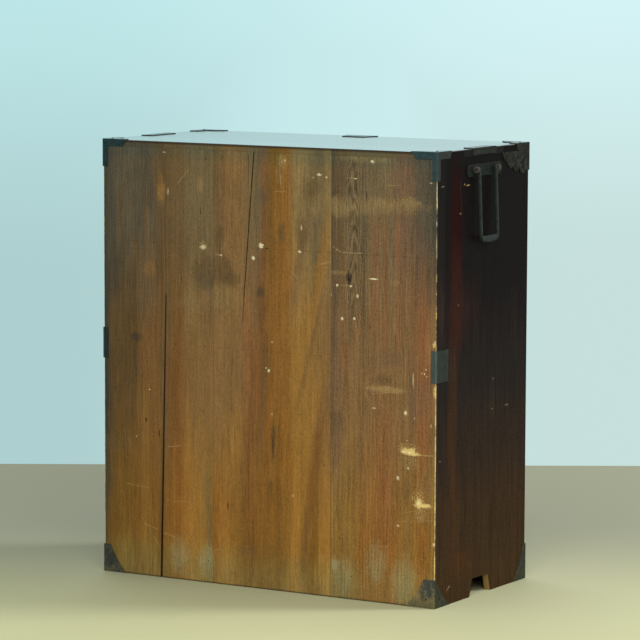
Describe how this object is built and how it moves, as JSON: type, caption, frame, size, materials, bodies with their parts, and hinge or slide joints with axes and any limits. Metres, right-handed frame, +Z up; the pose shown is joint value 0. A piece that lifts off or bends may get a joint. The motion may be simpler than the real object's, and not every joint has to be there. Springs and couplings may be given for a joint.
{
  "type": "tansu drawer chest",
  "caption": "Upright wooden chest with full-width drawers, planked back, iron corner and edge fittings, ring-pull bails and a tall carrying bail on each side.",
  "frame": {"origin": "middle of the bottom of the whole chest, handles included, on the floor", "axes": "+Z up; the drawers open towards -Y and the planked back faces +Y; +X is to the right of someone who faces the drawers"},
  "size_m": [0.907, 0.443, 1.0028],
  "materials": {
    "case_wood": "dark lacquered and worn",
    "front_wood": "red-brown lacquer",
    "back_wood": "bare, aged and stained",
    "inner_wood": "bare planed",
    "iron": "dark patina",
    "handle_iron": "dark forged patina"
  },
  "bodies": {
    "case": {"side_left": "case_wood", "side_right": "case_wood", "top_board": "case_wood", "bottom_board": "inner_wood", "base_rail": "case_wood", "drawer_divider_1": "case_wood", "drawer_divider_2": "case_wood", "drawer_divider_3": "case_wood", "back_plank_1": "back_wood", "back_plank_2": "back_wood", "back_plank_3": "back_wood", "back_plank_4": "back_wood", "top_corner_irons_back": "iron", "top_corner_irons_front": "iron", "lobed_corner_plates": "iron", "top_edge_straps": "iron", "mid_straps": "iron", "foot_irons_back": "iron", "foot_irons_front": "iron", "side_handle_plates": "iron", "side_handle_posts": "iron", "iron_nails": "iron"},
    "side_handle_left": {"side_handle_left": "handle_iron"},
    "side_handle_right": {"side_handle_right": "handle_iron"},
    "drawer_1": {"drawer_1_front": "front_wood", "drawer_1_sides": "inner_wood", "drawer_1_back": "inner_wood", "drawer_1_bottom": "inner_wood", "drawer_1_handle_mounts": "iron", "drawer_1_lock": "iron"},
    "drawer_1_lock_bolt": {"drawer_1_lock_bolt": "iron"},
    "drawer_1_handle_left": {"drawer_1_handle_left": "handle_iron"},
    "drawer_1_handle_right": {"drawer_1_handle_right": "handle_iron"},
    "drawer_2": {"drawer_2_front": "front_wood", "drawer_2_sides": "inner_wood", "drawer_2_back": "inner_wood", "drawer_2_bottom": "inner_wood", "drawer_2_handle_mounts": "iron", "drawer_2_lock": "iron"},
    "drawer_2_lock_bolt": {"drawer_2_lock_bolt": "iron"},
    "drawer_2_handle_left": {"drawer_2_handle_left": "handle_iron"},
    "drawer_2_handle_right": {"drawer_2_handle_right": "handle_iron"},
    "drawer_3": {"drawer_3_front": "front_wood", "drawer_3_sides": "inner_wood", "drawer_3_back": "inner_wood", "drawer_3_bottom": "inner_wood", "drawer_3_handle_mounts": "iron", "drawer_3_lock": "iron"},
    "drawer_3_lock_bolt": {"drawer_3_lock_bolt": "iron"},
    "drawer_3_handle_left": {"drawer_3_handle_left": "handle_iron"},
    "drawer_3_handle_right": {"drawer_3_handle_right": "handle_iron"},
    "drawer_4": {"drawer_4_front": "front_wood", "drawer_4_sides": "inner_wood", "drawer_4_back": "inner_wood", "drawer_4_bottom": "inner_wood", "drawer_4_handle_mounts": "iron", "drawer_4_lock": "iron"},
    "drawer_4_lock_bolt": {"drawer_4_lock_bolt": "iron"},
    "drawer_4_handle_left": {"drawer_4_handle_left": "handle_iron"},
    "drawer_4_handle_right": {"drawer_4_handle_right": "handle_iron"}
  },
  "joints": [
    {"name": "side_handle_left_swing", "type": "hinge", "parent": "case", "child": "side_handle_left", "pos_m": [-0.4432, 0.00465, 0.954], "axis": [0, 1, 0], "range_deg": [0, 175]},
    {"name": "side_handle_right_swing", "type": "hinge", "parent": "case", "child": "side_handle_right", "pos_m": [0.4432, 0.00465, 0.954], "axis": [0, -1, 0], "range_deg": [0, 175]},
    {"name": "drawer_1_slide", "type": "slide", "parent": "case", "child": "drawer_1", "axis": [0, -1, 0], "range_m": [0, 0.32]},
    {"name": "drawer_1_lock_bolt_slide", "type": "slide", "parent": "drawer_1", "child": "drawer_1_lock_bolt", "axis": [0, 0, 1], "range_m": [0, 0.008]},
    {"name": "drawer_1_handle_left_swing", "type": "hinge", "parent": "drawer_1", "child": "drawer_1_handle_left", "pos_m": [-0.215, -0.21545, 0.89715], "axis": [-1, 0, 0], "range_deg": [-5, 100]},
    {"name": "drawer_1_handle_right_swing", "type": "hinge", "parent": "drawer_1", "child": "drawer_1_handle_right", "pos_m": [0.215, -0.21545, 0.89715], "axis": [-1, 0, 0], "range_deg": [-5, 100]},
    {"name": "drawer_2_slide", "type": "slide", "parent": "case", "child": "drawer_2", "axis": [0, -1, 0], "range_m": [0, 0.32]},
    {"name": "drawer_2_lock_bolt_slide", "type": "slide", "parent": "drawer_2", "child": "drawer_2_lock_bolt", "axis": [0, 0, 1], "range_m": [0, 0.008]},
    {"name": "drawer_2_handle_left_swing", "type": "hinge", "parent": "drawer_2", "child": "drawer_2_handle_left", "pos_m": [-0.215, -0.21545, 0.67065], "axis": [-1, 0, 0], "range_deg": [-5, 100]},
    {"name": "drawer_2_handle_right_swing", "type": "hinge", "parent": "drawer_2", "child": "drawer_2_handle_right", "pos_m": [0.215, -0.21545, 0.67065], "axis": [-1, 0, 0], "range_deg": [-5, 100]},
    {"name": "drawer_3_slide", "type": "slide", "parent": "case", "child": "drawer_3", "axis": [0, -1, 0], "range_m": [0, 0.32]},
    {"name": "drawer_3_lock_bolt_slide", "type": "slide", "parent": "drawer_3", "child": "drawer_3_lock_bolt", "axis": [0, 0, 1], "range_m": [0, 0.008]},
    {"name": "drawer_3_handle_left_swing", "type": "hinge", "parent": "drawer_3", "child": "drawer_3_handle_left", "pos_m": [-0.215, -0.21545, 0.43265], "axis": [-1, 0, 0], "range_deg": [-5, 100]},
    {"name": "drawer_3_handle_right_swing", "type": "hinge", "parent": "drawer_3", "child": "drawer_3_handle_right", "pos_m": [0.215, -0.21545, 0.43265], "axis": [-1, 0, 0], "range_deg": [-5, 100]},
    {"name": "drawer_4_slide", "type": "slide", "parent": "case", "child": "drawer_4", "axis": [0, -1, 0], "range_m": [0, 0.32]},
    {"name": "drawer_4_lock_bolt_slide", "type": "slide", "parent": "drawer_4", "child": "drawer_4_lock_bolt", "axis": [0, 0, 1], "range_m": [0, 0.008]},
    {"name": "drawer_4_handle_left_swing", "type": "hinge", "parent": "drawer_4", "child": "drawer_4_handle_left", "pos_m": [-0.215, -0.21545, 0.18765], "axis": [-1, 0, 0], "range_deg": [-5, 100]},
    {"name": "drawer_4_handle_right_swing", "type": "hinge", "parent": "drawer_4", "child": "drawer_4_handle_right", "pos_m": [0.215, -0.21545, 0.18765], "axis": [-1, 0, 0], "range_deg": [-5, 100]}
  ]
}
